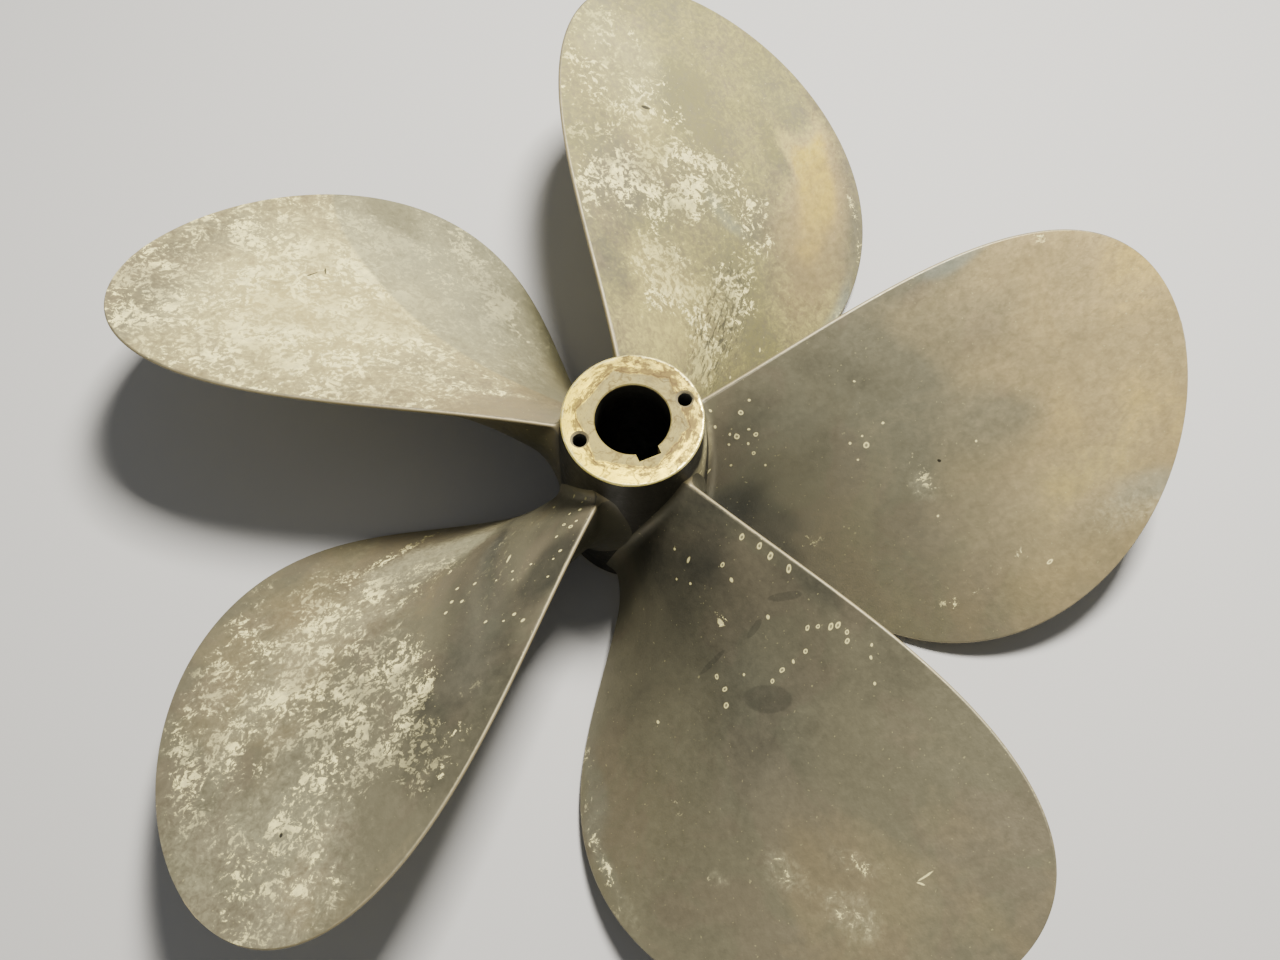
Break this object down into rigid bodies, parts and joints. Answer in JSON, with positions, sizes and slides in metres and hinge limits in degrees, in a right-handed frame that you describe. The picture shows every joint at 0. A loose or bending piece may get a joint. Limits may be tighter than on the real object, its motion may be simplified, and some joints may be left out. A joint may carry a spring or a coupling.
{
  "type": "ship propeller",
  "caption": "Right-handed marine propeller cast in one piece: broad skewed blades of varying pitch blend into a tapered hub with a keyed bore and puller holes.",
  "frame": {"origin": "on the shaft axis, in the plane of the hub's forward (wider) face, which is the lowest point and rests on the floor", "axes": "+Z along the shaft axis towards the aft (narrower) end of the hub, +X through one puller hole, -Y through the keyway"},
  "size_m": [0.794, 0.7864, 0.166],
  "materials": {
    "weathered_bronze": "weathered cast bronze with a chalky patina, machined on the hub's end"
  },
  "bodies": {
    "root": {"propeller_casting": "weathered_bronze"}
  },
  "joints": []
}
